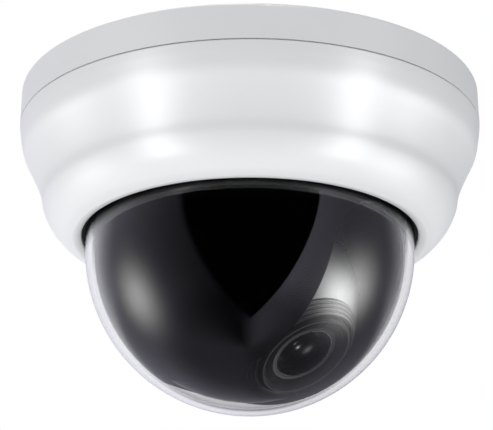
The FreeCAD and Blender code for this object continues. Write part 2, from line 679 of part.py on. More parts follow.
def tilt_group():
    save("eyeball_shell", eyeball_shell(), LENS)
    save("stepped_bezel", stepped_bezel(), LENS)
    save("tilt_frame", tilt_frame(), LENS)
    save("tilt_ratchet", tilt_ratchet(), LENS)
    pivots = []
    washers = []
    head_at = ARM_AT + ARM_T + 0.3
    for side in (-1, 1):
        inward = V(0, -side, 0)
        pivots.append(aim(screw(PIVOT_R, head_at - 18.6, 4.5, 2.2), inward, V(0, side * head_at, 0)))
        washer = tube(6.0, PIVOT_R + 0.02, 0, ARM_AT - EAR_AT - EAR_T - 0.3)
        washers.append(aim(washer, V(0, side, 0), V(0, side * (EAR_AT + EAR_T), 0)))
    save("tilt_pivot_screws", Part.makeCompound(pivots), LENS)
    save("tilt_friction_washers", Part.makeCompound(washers), LENS)


# --- turning lens unit ---
def lens_holder():
    half = 12.0
    back = BOARD_BACK + BOARD_T
    body = block(-half, half, -half, half, back, back + 4)
    body = joined(body, [tube(HUB_R, 0, back + 4, 8.3), tube(15.0, 0, 3.2, 5.2)])
    cuts = [block(-5.5, 5.5, -5.5, 5.5, back - 1, back + 2.9), tube(5.0, 0, back, back + 5)]
    cuts.append(tube(8.5, 0, back + 4.4, 20))
    cuts += [Part.makeCylinder(0.85, 3.2, V(x, y, back - 0.1)) for x, y in board_corners()]
    return without(body, cuts)


def board_corners():
    at = 9.6
    return [(-at, -at), (at, at)]


def lens_barrel():
    return turned([
        (BARREL_BORE_R, -2.6), (8.45, -2.6), (8.45, 9.8), (12.4, 9.8), (12.4, 11.5), (BARREL_R, 11.5),
        (BARREL_R, 26.0), (BARREL_BORE_R, 26.0),
    ])


def sensor_board():
    half = SENSOR_BOARD / 2
    board = block(-half, half, -half, half, BOARD_BACK, BOARD_BACK + BOARD_T)
    upright = [e for e in board.Edges if abs(e.Vertexes[0].Z - e.Vertexes[1].Z) > 1]
    board = board.makeFillet(2.0, upright)
    return without(board, [Part.makeCylinder(1.1, 9, V(x, y, BOARD_BACK - 4)) for x, y in board_corners()])


def lens_unit_group():
    front_of_board = BOARD_BACK + BOARD_T
    save("lens_holder", lens_holder(), LENS)
    save("holder_retaining_ring", tube(15.0, 8.55, 8.3, 9.7), LENS)
    save("lens_barrel", lens_barrel(), LENS)
    save("sensor_board", sensor_board(), LENS)
    screws = [placed(screw(0.8, 4.4, 1.6, 1.0), FreeCAD.Placement(V(x, y, BOARD_BACK), FreeCAD.Rotation()))
              for x, y in board_corners()]
    save("sensor_board_screws", Part.makeCompound(screws), LENS)
    save("image_sensor", block(-4.5, 4.5, -4.5, 4.5, front_of_board, front_of_board + 1.4), LENS)
    save("ir_filter", block(-5.3, 5.3, -5.3, 5.3, front_of_board + 2.2, front_of_board + 2.9), LENS)
    socket = block(-6, 6, -2.5, 2.5, BOARD_BACK - 3, BOARD_BACK)
    socket = socket.cut(block(-5, 5, -1.5, 1.5, BOARD_BACK - 4, BOARD_BACK - 0.8))
    save("sensor_connector", socket, LENS)


def grip_ring(low, high, ribs):
    """Turning ring with finger ribs round its outside."""
    ring = tube(RING_OUT_R - 0.5, BARREL_R + RUNNING, low, high)
    pieces = []
    for i in range(ribs):
        rib = block(RING_OUT_R - 1.2, RING_OUT_R, -0.6, 0.6, low + 0.6, high - 0.6)
        pieces.append(placed(rib, FreeCAD.Placement(V(0, 0, 0), FreeCAD.Rotation(Z, i * 360.0 / ribs))))
    middle = (low + high) / 2
    hole = aim(Part.makeCylinder(0.95, 9), X, V(BARREL_R - 2, 0, middle))
    pieces.append(aim(tube(1.9, 0, 0, 2.2), X, V(RING_OUT_R - 1.4, 0, middle)))
    return joined(ring, pieces).cut(hole)


def lock_screw(station, degrees):
    """Thumb screw that also serves as the ring's lever."""
    shank = tube(0.9, 0, 0.6, 5.0)
    knob = tube(1.8, 0, 5.0, 8.2)
    item = aim(shank.fuse(knob).removeSplitter(), X, V(BARREL_R, 0, station))
    return placed(item, FreeCAD.Placement(V(0, 0, 0), FreeCAD.Rotation(Z, degrees)))


def adjuster(name, low, high, degrees):
    turn = FreeCAD.Placement(V(0, 0, 0), FreeCAD.Rotation(Z, degrees))
    save(name + "_ring", placed(grip_ring(low, high, 24), turn), LENS)
    save(name + "_lock_screw", lock_screw((low + high) / 2, degrees), LENS)


def lens_element(radius, low, high, bulge):
    """Round glass whose front face bulges by the given height."""
    body = tube(radius, 0, low, high - bulge)
    sphere_r = (radius * radius + bulge * bulge) / (2 * bulge)
    cap = Part.makeSphere(sphere_r, V(0, 0, high - sphere_r)).common(tube(radius, 0, high - bulge, high + 1))
    return body.fuse(cap).removeSplitter()


def moving_optics():
    save("zoom_cell", tube(BARREL_BORE_R - RUNNING, 5.2, 3.0, 9.0), LENS)
    save("zoom_glass", lens_element(5.2, 4.0, 8.2, 1.0), LENS)
    front_housing = turned([
        (BARREL_R + 0.06, 25.5), (10.8, 25.5), (10.8, 27.0), (FRONT_R, 27.0), (FRONT_R, LENS_FRONT - 0.4),
        (FRONT_R - 0.4, LENS_FRONT), (12.7, LENS_FRONT), (12.2, LENS_FRONT - 0.6), (9.3, LENS_FRONT - 1.2),
        (RETAINER_R, LENS_FRONT - 1.2), (RETAINER_R, 29.4), (5.7, 29.4), (5.7, 28.4), (BARREL_R + 0.06, 28.4),
    ])
    save("front_housing", front_housing, LENS)
    save("front_glass", lens_element(GLASS_R, 29.4, 32.2, 1.3), LENS)
    ring = turned([
        (GLASS_R, 30.0), (RETAINER_R, 30.0), (RETAINER_R, LENS_FRONT - 1.0),
        (GLASS_R - 0.3, LENS_FRONT - 1.0), (GLASS_R - 0.3, 31.0), (GLASS_R, 31.0),
    ])
    save("front_retaining_ring", ring, LENS)


base_group()
cover_group()
pan_group()
tilt_group()
lens_unit_group()
adjuster("zoom", ZOOM_FROM, ZOOM_TO, 150.0)
adjuster("focus", FOCUS_FROM, FOCUS_TO, 30.0)
moving_optics()
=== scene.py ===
import bpy
import bmesh
import json
import math
from mathutils import Matrix, Vector


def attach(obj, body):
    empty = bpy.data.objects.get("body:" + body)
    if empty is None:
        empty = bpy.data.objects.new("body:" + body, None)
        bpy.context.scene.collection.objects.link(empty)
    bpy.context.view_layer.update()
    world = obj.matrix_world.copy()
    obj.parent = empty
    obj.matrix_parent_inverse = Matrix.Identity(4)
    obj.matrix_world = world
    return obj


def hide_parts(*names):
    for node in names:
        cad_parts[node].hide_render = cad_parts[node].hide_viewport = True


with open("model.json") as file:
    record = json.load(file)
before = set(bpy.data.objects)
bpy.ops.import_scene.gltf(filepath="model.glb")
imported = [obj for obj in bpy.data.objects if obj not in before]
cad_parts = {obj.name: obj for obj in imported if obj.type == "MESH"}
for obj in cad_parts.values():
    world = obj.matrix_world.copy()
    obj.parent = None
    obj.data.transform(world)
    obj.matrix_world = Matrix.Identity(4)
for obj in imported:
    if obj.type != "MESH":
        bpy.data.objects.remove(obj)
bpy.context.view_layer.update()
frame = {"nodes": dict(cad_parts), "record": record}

# Dome camera. The object hangs from z = 0, and the viewer stands on the -Y side, below it.
# Outlines are written in millimetres as (radius, height) and turned into metres when the mesh is made.
MM = 0.001

# --- frames: the lens frame's +Z is the optical axis and its +Y is the tilt axis ---
BODY = Matrix.Identity(4)
HEADING = math.radians(-36.0)
TILT = math.radians(33.5)
GIMBAL_Z = -53.0
YOKE = Matrix.Rotation(HEADING, 4, "Z")
LENS = Matrix.Translation((0.0, 0.0, GIMBAL_Z * MM)) @ YOKE @ Matrix.Rotation(math.pi - TILT, 4, "Y")

# --- sizes shared with the CAD model, millimetres ---
COVER_OUTLINE = [
    (65.0, -10.8), (64.6, -14.2), (63.8, -18.3), (61.9, -22.3), (60.1, -26.4),
    (58.7, -30.5), (57.95, -34.5), (55.9, -38.6), (52.6, -42.2), (49.5, -43.7),
]
COVER_WALL = 2.2
OPENING_R = 47.0
SEAT_Z = -40.6
SEAT_R = 51.2
RING_SCREW_AT = 51.9
RING_SCREW_ANGLES = (45, 135, 225, 315)
DOME_Z = -47.0
BUBBLE_R = 46.0
BUBBLE_WALL = 1.8
BUBBLE_TOP_Z = -40.0
FLANGE_R = 49.7
FLANGE_H = 2.5
LINER_Z = -47.4
LINER_R = 43.4
LINER_WALL = 1.2
SHUTTER_GAP = 0.35
SHUTTER_WALL = 0.8
SHUTTER_HALF = 17.4
SHUTTER_NEAR_DEG = 15.0
SHUTTER_FAR_DEG = 65.0
SHUTTER_HOLE_R = 17.6
EYE_FORWARD = 12.0
EYE_R = 24.5
EYE_WALL = 1.5
EYE_BACK = -3.0
EYE_FRONT = 17.3
EYE_HOLE_R = 14.6
PIVOT_EAR_R = 7.0
PIVOT_EAR_INSIDE = 20.8
PIVOT_EAR_OUTSIDE = 23.2
BEZEL_R = 17.3
BEZEL_HOLE_R = 14.1
BEZEL_STEPS = 4
BEZEL_STEP_IN = 0.7
BEZEL_STEP_H = 0.9
LENS_FRONT = 33.8
LENS_FRONT_R = 13.6
GLASS_R = 8.0
GLASS_TOP_Z = 32.2
GLASS_BULGE = 1.3
GLASS_BACK_Z = 29.4
GLASS_BACK_SPHERE = 9.5
RETAINER_R = 8.5
RETAINER_DEPTH = 1.2

# --- camera ---
VIEW_ELEVATION = math.radians(-20.8)
VIEW_DISTANCE = 914.0 * MM
VIEW_TARGET = Vector((-0.94 * MM, 0.0, -36.05 * MM))
VIEW_LENS = 237.8


def add_camera():
    data = bpy.data.cameras.new("camera")
    data.lens = VIEW_LENS
    data.sensor_width = 36.0
    data.clip_start = 0.05
    data.clip_end = 50.0
    camera = bpy.data.objects.new("camera", data)
    back = Vector((0.0, -math.cos(VIEW_ELEVATION), math.sin(VIEW_ELEVATION)))
    camera.location = VIEW_TARGET + back * VIEW_DISTANCE
    camera.rotation_mode = "QUATERNION"
    camera.rotation_quaternion = (-back).to_track_quat("-Z", "Y")
    bpy.context.scene.collection.objects.link(camera)
    bpy.context.scene.camera = camera


# --- node helpers ---
class Nodes:
    """Short way to build a node tree: new() makes a node and sets or links its inputs."""

    def __init__(self, tree):
        self.tree = tree
        tree.nodes.clear()

    def new(self, kind, inputs=None, **settings):
        node = self.tree.nodes.new(kind)
        for key, value in settings.items():
            setattr(node, key, value)
        for key, value in (inputs or {}).items():
            self.set(node.inputs[key], value)
        return node

    def set(self, socket, value):
        if isinstance(value, bpy.types.NodeSocket):
            self.tree.links.new(value, socket)
        else:
            socket.default_value = value

    def math(self, operation, a, b=0.0, c=0.0, clamp=False):
        node = self.new("ShaderNodeMath", {0: a, 1: b, 2: c}, operation=operation, use_clamp=clamp)
        return node.outputs[0]

    def blend(self, factor, a, b):
        """a where the factor is 0, b where it is 1, for plain numbers."""
        return self.math("MULTIPLY_ADD", self.math("SUBTRACT", b, a), factor, a)

    def dot(self, a, b):
        return self.new("ShaderNodeVectorMath", {0: a, 1: b}, operation="DOT_PRODUCT").outputs["Value"]

    def ramp(self, value, low, high, to_low=0.0, to_high=1.0, kind="SMOOTHSTEP"):
        inputs = {"Value": value, "From Min": low, "From Max": high, "To Min": to_low, "To Max": to_high}
        return self.new("ShaderNodeMapRange", inputs, interpolation_type=kind).outputs[0]

    def colour(self, factor, a, b):
        node = self.new("ShaderNodeMix", data_type="RGBA")
        self.set(node.inputs[0], factor)
        self.set(node.inputs[6], a)
        self.set(node.inputs[7], b)
        return node.outputs[2]

    def place(self, scale=1.0):
        where = self.new("ShaderNodeTexCoord").outputs["Object"]
        factors = (scale, scale, scale)
        return self.new("ShaderNodeVectorMath", {0: where, 1: factors}, operation="MULTIPLY").outputs[0]

    def noise(self, scale, detail=2.0, where=None):
        where = where or self.new("ShaderNodeTexCoord").outputs["Object"]
        return self.new("ShaderNodeTexNoise", {"Vector": where, "Scale": scale, "Detail": detail}).outputs[0]


def heading_vector(azimuth, elevation):
    """Unit vector at azimuth degrees to the right of the viewer's side (-Y), and elevation above level."""
    a, e = math.radians(azimuth), math.radians(elevation)
    return Vector((math.sin(a) * math.cos(e), -math.cos(a) * math.cos(e), math.sin(e)))


# --- light: a white studio with a dark gap in front, between two wide soft boxes ---
GAP_TOP = (50.0, 23.0)
GAP_POINT = (0.0, -67.0)
# azimuth, elevation, strength and tightness of the soft boxes' bright middles
GLOWS = ((-99.0, -20.0, 5.2, 34.0), (88.0, -23.0, 8.5, 26.0))
# how bright the room is for matt surfaces, from below and from above, and how it falls off to each side
ROOM_BELOW = 1.60
ROOM_ABOVE = 0.26
ROOM_RIGHT = 0.63
ROOM_LEFT = 0.85
# how bright the white wall behind the bubble is through it, and the cool tint of what the bubble mirrors
WALL_THROUGH = 0.95
MIRROR_TINT = (0.96, 0.94, 1.14, 1.0)
WHITE = (1.0, 1.0, 1.0, 1.0)
LAMP_DISTANCE = 1.3
STRIP_SIZE = (0.35, 2.2)
STRIP_POWER = 30.0
STRIP_HEIGHT = -30.0


def gap_side(n, direction, side):
    """1 beyond the gap's edge on one side, 0 inside the gap."""
    normal = heading_vector(side * GAP_TOP[0], GAP_TOP[1]).cross(heading_vector(*GAP_POINT)).normalized()
    if normal.x * side < 0:
        normal = -normal
    soft = 0.012 if side > 0 else 0.05
    return n.ramp(n.dot(direction, tuple(normal)), -soft, soft)


def add_world():
    world = bpy.data.worlds.new("studio")
    bpy.context.scene.world = world
    world.use_nodes = True
    n = Nodes(world.node_tree)
    direction = n.new("ShaderNodeTexCoord").outputs["Generated"]
    x, y, z = n.new("ShaderNodeSeparateXYZ", {0: direction}).outputs[:]
    azimuth = n.math("ARCTAN2", x, n.math("MULTIPLY", y, -1.0))
    turn = n.math("ABSOLUTE", azimuth)
    # the left box is dim in front and bright beside, the right box is the other way round
    left = n.ramp(turn, math.radians(25), math.radians(120), 0.12, 0.95)
    right = n.ramp(turn, math.radians(20), math.radians(80), 1.25, 0.55)
    away = n.ramp(turn, math.radians(90), math.radians(125), 1.0, 0.8)
    away = n.math("MULTIPLY", away, n.ramp(z, -0.85, -0.5, 0.45, 1.0))
    boxes = n.math("MULTIPLY", n.blend(n.ramp(x, -0.12, 0.12), left, right), away)
    spots = 0.0
    for where, height, power, tightness in GLOWS:
        off_axis = n.math("SUBTRACT", n.dot(direction, tuple(heading_vector(where, height))), 1.0)
        spot = n.math("EXPONENT", n.math("MULTIPLY", off_axis, tightness))
        spots = n.math("MULTIPLY_ADD", spot, power, spots)
    boxes = n.math("ADD", boxes, spots)
    beside = n.math("MAXIMUM", gap_side(n, direction, 1), gap_side(n, direction, -1))
    behind = n.ramp(y, -0.1, 0.1)
    mirrored = n.math("MULTIPLY", boxes, n.math("MAXIMUM", beside, behind))
    to_right = n.ramp(x, 0.0, 1.0, 1.0, ROOM_RIGHT, "LINEAR")
    to_left = n.ramp(x, -1.0, 0.0, ROOM_LEFT, 1.0, "LINEAR")
    room = n.ramp(z, -1.0, 1.0, ROOM_BELOW, ROOM_ABOVE, "LINEAR")
    diffuse = n.math("MULTIPLY", room, n.math("MULTIPLY", to_right, to_left))
    path = n.new("ShaderNodeLightPath").outputs
    # through the bubble the wall is white straight on, and only near the rim after a bounce inside it
    unbent = n.math("SUBTRACT", 1.0, path["Glossy Depth"], clamp=True)
    ahead = (0.0, math.cos(VIEW_ELEVATION), -math.sin(VIEW_ELEVATION))
    bent = n.math("MULTIPLY", n.ramp(n.dot(direction, ahead), 0.35, 0.8), n.ramp(z, -0.22, -0.02))
    backdrop = n.math("MAXIMUM", unbent, bent)
    seen = n.blend(path["Is Transmission Ray"], mirrored, n.math("MULTIPLY", backdrop, WALL_THROUGH))
    light = n.blend(path["Is Diffuse Ray"], seen, diffuse)
    strength = n.blend(path["Is Camera Ray"], light, 1.0)
    straight = n.math("ADD", path["Is Camera Ray"], path["Is Transmission Ray"])
    plain = n.math("ADD", n.math("ADD", path["Is Diffuse Ray"], straight), spots, clamp=True)
    tint = n.colour(plain, MIRROR_TINT, WHITE)
    background = n.new("ShaderNodeBackground", {"Color": tint, "Strength": strength})
    n.new("ShaderNodeOutputWorld", {"Surface": background.outputs[0]})
    world.cycles.sampling_method = "NONE"
    bpy.context.scene.view_settings.view_transform = "Standard"


def add_light(name, data, lit):
    """Light object that falls only on the objects listed."""
    receivers = bpy.data.collections.new(name)
    for target in lit:
        receivers.objects.link(target)
    light = bpy.data.objects.new(name, data)
    bpy.context.scene.collection.objects.link(light)
    light.light_linking.receiver_collection = receivers
    return light


def add_lamp(name, azimuth, elevation, size, power, lit):
    """Soft rectangular light whose gleam shows only on the objects listed."""
    data = bpy.data.lights.new(name, "AREA")
    data.shape = "RECTANGLE"
    data.size, data.size_y = size
    data.energy = power
    lamp = add_light(name, data, lit)
    toward = heading_vector(azimuth, elevation)
    lamp.location = toward * LAMP_DISTANCE
    lamp.rotation_mode = "QUATERNION"
    lamp.rotation_quaternion = (-toward).to_track_quat("-Z", "Y")
    lamp.visible_camera = False
    lamp.visible_diffuse = False


def add_overhead(name, energy, spread, lit):
    """Light from straight above that falls only on the objects listed."""
    data = bpy.data.lights.new(name, "SUN")
    data.energy = energy
    data.angle = spread
    add_light(name, data, lit)


# --- materials ---
def principled(name, colour, roughness, **sockets):
    """Material with one Principled shader; returns the material, its node builder and the shader."""
    material = bpy.data.materials.new(name)
    material.use_nodes = True
    n = Nodes(material.node_tree)
    inputs = {"Base Color": (*colour, 1.0), "Roughness": roughness}
    inputs.update({key.replace("_", " "): value for key, value in sockets.items()})
    shader = n.new("ShaderNodeBsdfPrincipled", inputs)
    n.new("ShaderNodeOutputMaterial", {"Surface": shader.outputs[0]})
    return material, n, shader


def bump(n, shader, height, depth, strength=0.5):
    node = n.new("ShaderNodeBump", {"Height": height, "Strength": strength, "Distance": depth})
    n.set(shader.inputs["Normal"], node.outputs[0])


def shade(colour, factor):
    return (*[min(1.0, c * factor) for c in colour], 1.0)


def moulded(name, colour, roughness, scale=1500.0, depth=0.00001, spread=0.04, tone=0.05, **sockets):
    """Moulded or coated surface: fine grain, and slow drift in tone and roughness."""
    material, n, shader = principled(name, colour, roughness, **sockets)
    fine = n.noise(scale)
    slow = n.noise(35.0, 3.0)
    n.set(shader.inputs["Roughness"], n.ramp(slow, 0.3, 0.7, roughness - spread, roughness + spread))
    tint = n.colour(n.ramp(slow, 0.3, 0.7), shade(colour, 1.0 - tone), shade(colour, 1.0 + tone))
    n.set(shader.inputs["Base Color"], tint)
    if depth > 0:
        bump(n, shader, fine, depth)
    return material


def brushed(name, colour, roughness, stretch=(60.0, 60.0, 4000.0)):
    """Bare metal with fine lines left by a lathe."""
    material, n, shader = principled(name, colour, roughness, Metallic=1.0)
    where = n.new("ShaderNodeTexCoord").outputs["Object"]
    drawn = n.new("ShaderNodeVectorMath", {0: where, 1: stretch}, operation="MULTIPLY").outputs[0]
    lines = n.noise(1.0, 2.0, drawn)
    n.set(shader.inputs["Roughness"], n.ramp(lines, 0.3, 0.7, roughness - 0.08, roughness + 0.08))
    bump(n, shader, lines, 0.000004)
    return material


def clear(name, tint, index, through, roughness=0.0):
    """Clear material: light from outside passes straight to what is inside."""
    material = bpy.data.materials.new(name)
    material.use_nodes = True
    n = Nodes(material.node_tree)
    shader = n.new("ShaderNodeBsdfPrincipled", {
        "Base Color": (*tint, 1.0), "Roughness": roughness, "IOR": index, "Transmission Weight": 1.0})
    open_way = n.new("ShaderNodeBsdfTransparent", {"Color": (through, through, through, 1.0)})
    shadow = n.new("ShaderNodeLightPath").outputs["Is Shadow Ray"]
    mixed = n.new("ShaderNodeMixShader", {0: shadow, 1: shader.outputs[0], 2: open_way.outputs[0]})
    n.new("ShaderNodeOutputMaterial", {"Surface": mixed.outputs[0]})
    return material


def board_mask(name):
    """Green solder mask over copper tracks, with tinned pads and drilled vias."""
    dark, light = (0.006, 0.075, 0.03, 1.0), (0.012, 0.16, 0.065, 1.0)
    material, n, shader = principled(name, dark[:3], 0.3, Coat_Weight=0.4, Coat_Roughness=0.1)
    where = n.place(1000.0)
    runs = n.new("ShaderNodeTexBrick", {
        "Vector": where, "Color1": (1, 1, 1, 1), "Color2": (0.2, 0.2, 0.2, 1), "Mortar": (0, 0, 0, 1),
        "Scale": 1.0, "Mortar Size": 0.16, "Mortar Smooth": 0.1, "Brick Width": 7.0, "Row Height": 1.3},
        offset=0.35, squash=1.6, squash_frequency=3).outputs[0]
    cells = n.new("ShaderNodeTexVoronoi", {"Vector": where, "Scale": 0.42, "Randomness": 1.0}).outputs[0]
    via = n.ramp(cells, 0.10, 0.13, 1.0, 0.0)
    tin = n.colour(via, n.colour(runs, dark, light), (0.55, 0.55, 0.5, 1.0))
    n.set(shader.inputs["Base Color"], tin)
    n.set(shader.inputs["Metallic"], via)
    bump(n, shader, runs, 0.00003)
    return material


def make_materials():
    return {
        "white_base": moulded("white_base_plastic", (0.765, 0.775, 0.785), 0.40,
                              scale=2600.0, depth=0.000006, spread=0.02, tone=0.008),
        "white_cover": moulded("white_cover_plastic", (0.765, 0.773, 0.78), 0.34,
                               scale=2600.0, depth=0.000005, spread=0.02, tone=0.006),
        "clear_bubble": clear("clear_polycarbonate", (0.96, 0.965, 0.97), 1.49, 0.9),
        "seal_rubber": moulded("seal_rubber_black", (0.006, 0.006, 0.006), 0.7, scale=700.0, depth=0.00003),
        "black_liner": moulded("liner_black", (0.0008, 0.0008, 0.0009), 0.3, depth=0.0, spread=0.02,
                               Specular_IOR_Level=0.045),
        "black_shroud": moulded("shroud_black", (0.010, 0.010, 0.011), 0.42, depth=0.0, spread=0.02,
                                Specular_IOR_Level=1.0),
        "black_moulding": moulded("moulding_black", (0.012, 0.012, 0.013), 0.5, scale=900.0, depth=0.00003),
        "lens_black": moulded("lens_anodised_black", (0.010, 0.010, 0.011), 0.35, Metallic=0.3),
        "bright_ring": brushed("ring_bright", (0.26, 0.265, 0.28), 0.30),
        "lens_glass": clear("lens_glass_coated", (0.80, 0.76, 0.9), 1.55, 0.8, roughness=0.18),
        "filter_glass": moulded("filter_glass_pale", (0.35, 0.6, 0.6), 0.08, depth=0.0),
        "board_green": board_mask("board_green_mask"),
        "chip_black": moulded("chip_black_epoxy", (0.022, 0.022, 0.025), 0.5, scale=2500.0, depth=0.00003),
        "can_aluminium": brushed("can_bare_aluminium", (0.70, 0.71, 0.73), 0.28),
        "ferrite": moulded("ferrite_grey", (0.06, 0.06, 0.062), 0.6, depth=0.00003),
        "terminal_green": moulded("terminal_green_nylon", (0.02, 0.22, 0.09), 0.4),
        "connector_ivory": moulded("connector_ivory_nylon", (0.72, 0.67, 0.54), 0.45),
        "button_red": moulded("button_red_nylon", (0.40, 0.025, 0.025), 0.4),
        "screw_steel": brushed("screw_zinc_steel", (0.56, 0.56, 0.57), 0.3),
        "spring_steel": brushed("spring_bright_steel", (0.6, 0.6, 0.62), 0.25, stretch=(4000.0, 60.0, 60.0)),
    }


def dress_cad_nodes():
    """Gives every CAD node the finish of its slot."""
    for row in frame["record"]["subparts"]:
        node = frame["nodes"][row["node"]]
        node.data.materials.clear()
        node.data.materials.append(finish[row["material_slot"]])


# --- mesh helpers ---
def smooth_line(points, steps):
    """Catmull-Rom line through the points, with the given steps between neighbours."""
    pts = [Vector(p) for p in points]
    pts = [2 * pts[0] - pts[1]] + pts + [2 * pts[-1] - pts[-2]]
    line = []
    for i in range(1, len(pts) - 2):
        a, b, c, d = pts[i - 1:i + 3]
        for k in range(steps):
            t = k / steps
            line.append(0.5 * ((2 * b) + (c - a) * t + (2 * a - 5 * b + 4 * c - d) * t * t
                               + (3 * b - a - 3 * c + d) * t ** 3))
    line.append(pts[-2])
    return [(p.x, p.y) for p in line]


def soften(outline, radius, steps=4, least=20.0):
    """Closed outline with each corner sharper than the least angle rounded off by the radius."""
    made = []
    count = len(outline)
    for i in range(count):
        corner = Vector(outline[i])
        before = Vector(outline[i - 1]) - corner
        after = Vector(outline[(i + 1) % count]) - corner
        turn = 180.0 - math.degrees(before.angle(after))
        on_axis = abs(corner.x) < 1e-6
        if turn < least or on_axis:
            made.append((corner.x, corner.y))
            continue
        start = corner + before.normalized() * min(radius, 0.45 * before.length)
        end = corner + after.normalized() * min(radius, 0.45 * after.length)
        for k in range(steps + 1):
            t = k / steps
            p = start * (1 - t) ** 2 + corner * 2 * t * (1 - t) + end * t * t
            made.append((p.x, p.y))
    return made


def arc(radius, centre_z, start, end, steps):
    """Points (r, z) on a circle about the axis; angles in degrees from the equator, up is positive."""
    line = []
    for i in range(steps + 1):
        a = math.radians(start + (end - start) * i / steps)
        line.append((max(0.0, radius * math.cos(a)), centre_z + radius * math.sin(a)))
    return line


def piece(name, bm, place, body, slot, stands_for=(), sharp=32.0):
    """Makes a mesh object from millimetre geometry, puts it on its body and hides the CAD nodes it stands
    for.
    """
    bmesh.ops.remove_doubles(bm, verts=bm.verts, dist=1e-5)
    bmesh.ops.recalc_face_normals(bm, faces=bm.faces)
    bm.transform(place @ Matrix.Scale(MM, 4))
    mesh = bpy.data.meshes.new(name)
    bm.to_mesh(mesh)
    bm.free()
    mesh.shade_smooth()
    mesh.set_sharp_from_angle(angle=math.radians(sharp))
    mesh.materials.append(finish[slot])
    made = bpy.data.objects.new(name, mesh)
    bpy.context.scene.collection.objects.link(made)
    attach(made, body)
    if stands_for:
        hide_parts(*stands_for)
    return made


def lathe(bm, outline, segments=160, place=BODY):
    """Adds a closed solid of revolution about Z from a closed outline of (radius, height)."""
    rings = []
    for r, z in outline:
        if r < 1e-6:
            rings.append([bm.verts.new(place @ Vector((0.0, 0.0, z)))] * segments)
            continue
        ring = []
        for i in range(segments):
            a = 2 * math.pi * i / segments
            ring.append(bm.verts.new(place @ Vector((r * math.cos(a), r * math.sin(a), z))))
        rings.append(ring)
    count = len(rings)
    for k in range(count):
        low, high = rings[k], rings[(k + 1) % count]
        if low[0] is low[1] and high[0] is high[1]:
            continue
        for i in range(segments):
            j = (i + 1) % segments
            corners = [low[i], low[j], high[j], high[i]]
            unique = []
            for corner in corners:
                if corner not in unique:
                    unique.append(corner)
            bm.faces.new(unique)
    return bm


def turned(name, outline, place, body, slot, stands_for=(), radius=0.2, segments=160, sharp=32.0):
    bm = lathe(bmesh.new(), soften(outline, radius), segments)
    return piece(name, bm, place, body, slot, stands_for, sharp)


def prism(bm, outline, low, high, place, edge=0.25):
    """Adds an extruded outline of (x, y) from low to high, with its rims bevelled."""
    shape = bmesh.new()
    bottom = [shape.verts.new((x, y, low)) for x, y in outline]
    face = shape.faces.new(bottom)
    grown = bmesh.ops.extrude_face_region(shape, geom=[face])
    moved = [v for v in grown["geom"] if isinstance(v, bmesh.types.BMVert)]
    bmesh.ops.translate(shape, verts=moved, vec=(0.0, 0.0, high - low))
    bmesh.ops.recalc_face_normals(shape, faces=shape.faces)
    if edge > 0:
        hard = [e for e in shape.edges if e.calc_face_angle(0.0) > math.radians(35)]
        bmesh.ops.bevel(shape, geom=hard, offset=edge, segments=2, profile=0.5, affect="EDGES")
    shape.transform(place)
    mesh = bpy.data.meshes.new("part")
    shape.to_mesh(mesh)
    shape.free()
    bm.from_mesh(mesh)
    bpy.data.meshes.remove(mesh)
    return bm


def polar(radius, degrees):
    a = math.radians(degrees)
    return radius * math.cos(a), radius * math.sin(a)


# --- housing pieces ---
def cover_outline():
    outside = smooth_line(COVER_OUTLINE, 7)
    lip = [(49.0, -43.72), (48.4, -43.68), (47.7, -43.52), (47.25, -43.3), (OPENING_R, -42.9)]
    inside = []
    for i in range(len(outside)):
        a = Vector(outside[max(0, i - 1)])
        b = Vector(outside[min(len(outside) - 1, i + 1)])
        along = (b - a).normalized()
        inside.append((outside[i][0] + along.y * COVER_WALL, outside[i][1] - along.x * COVER_WALL))
    inside = [p for p in inside[1:] if SEAT_Z + 1.0 < p[1] < COVER_OUTLINE[0][1] - 0.2]
    rim = [(inside[0][0], COVER_OUTLINE[0][1])]
    return outside + lip + [(OPENING_R, SEAT_Z), (SEAT_R, SEAT_Z)] + inside[::-1] + rim


def add_cover():
    bm = lathe(bmesh.new(), soften(cover_outline(), 0.3, steps=3), 256)
    for degrees in RING_SCREW_ANGLES:
        x, y = polar(RING_SCREW_AT, degrees)
        boss = [(1.05, -40.0), (1.05, -37.5), (2.0, -37.5), (2.0, -40.9), (1.05, -40.9)]
        lathe(bm, soften(boss, 0.12), 40, Matrix.Translation((x, y, 0.0)))
    return piece("cover_shell", bm, BODY, "cover", "white_cover", ["dome_cover", "cover_lip"], 40.0)


def add_bubble():
    inner = BUBBLE_R - BUBBLE_WALL
    top = BUBBLE_TOP_Z + FLANGE_H
    outline = arc(BUBBLE_R, DOME_Z, -90, 0, 72)
    outline += [(BUBBLE_R, BUBBLE_TOP_Z), (FLANGE_R, BUBBLE_TOP_Z), (FLANGE_R, top), (inner, top)]
    outline += arc(inner, DOME_Z, 0, -90, 72)
    bm = lathe(bmesh.new(), soften(outline, 0.25, steps=3), 224)
    return piece("bubble", bm, BODY, "cover", "clear_bubble", ["dome_bubble", "bubble_flange"], 40.0)


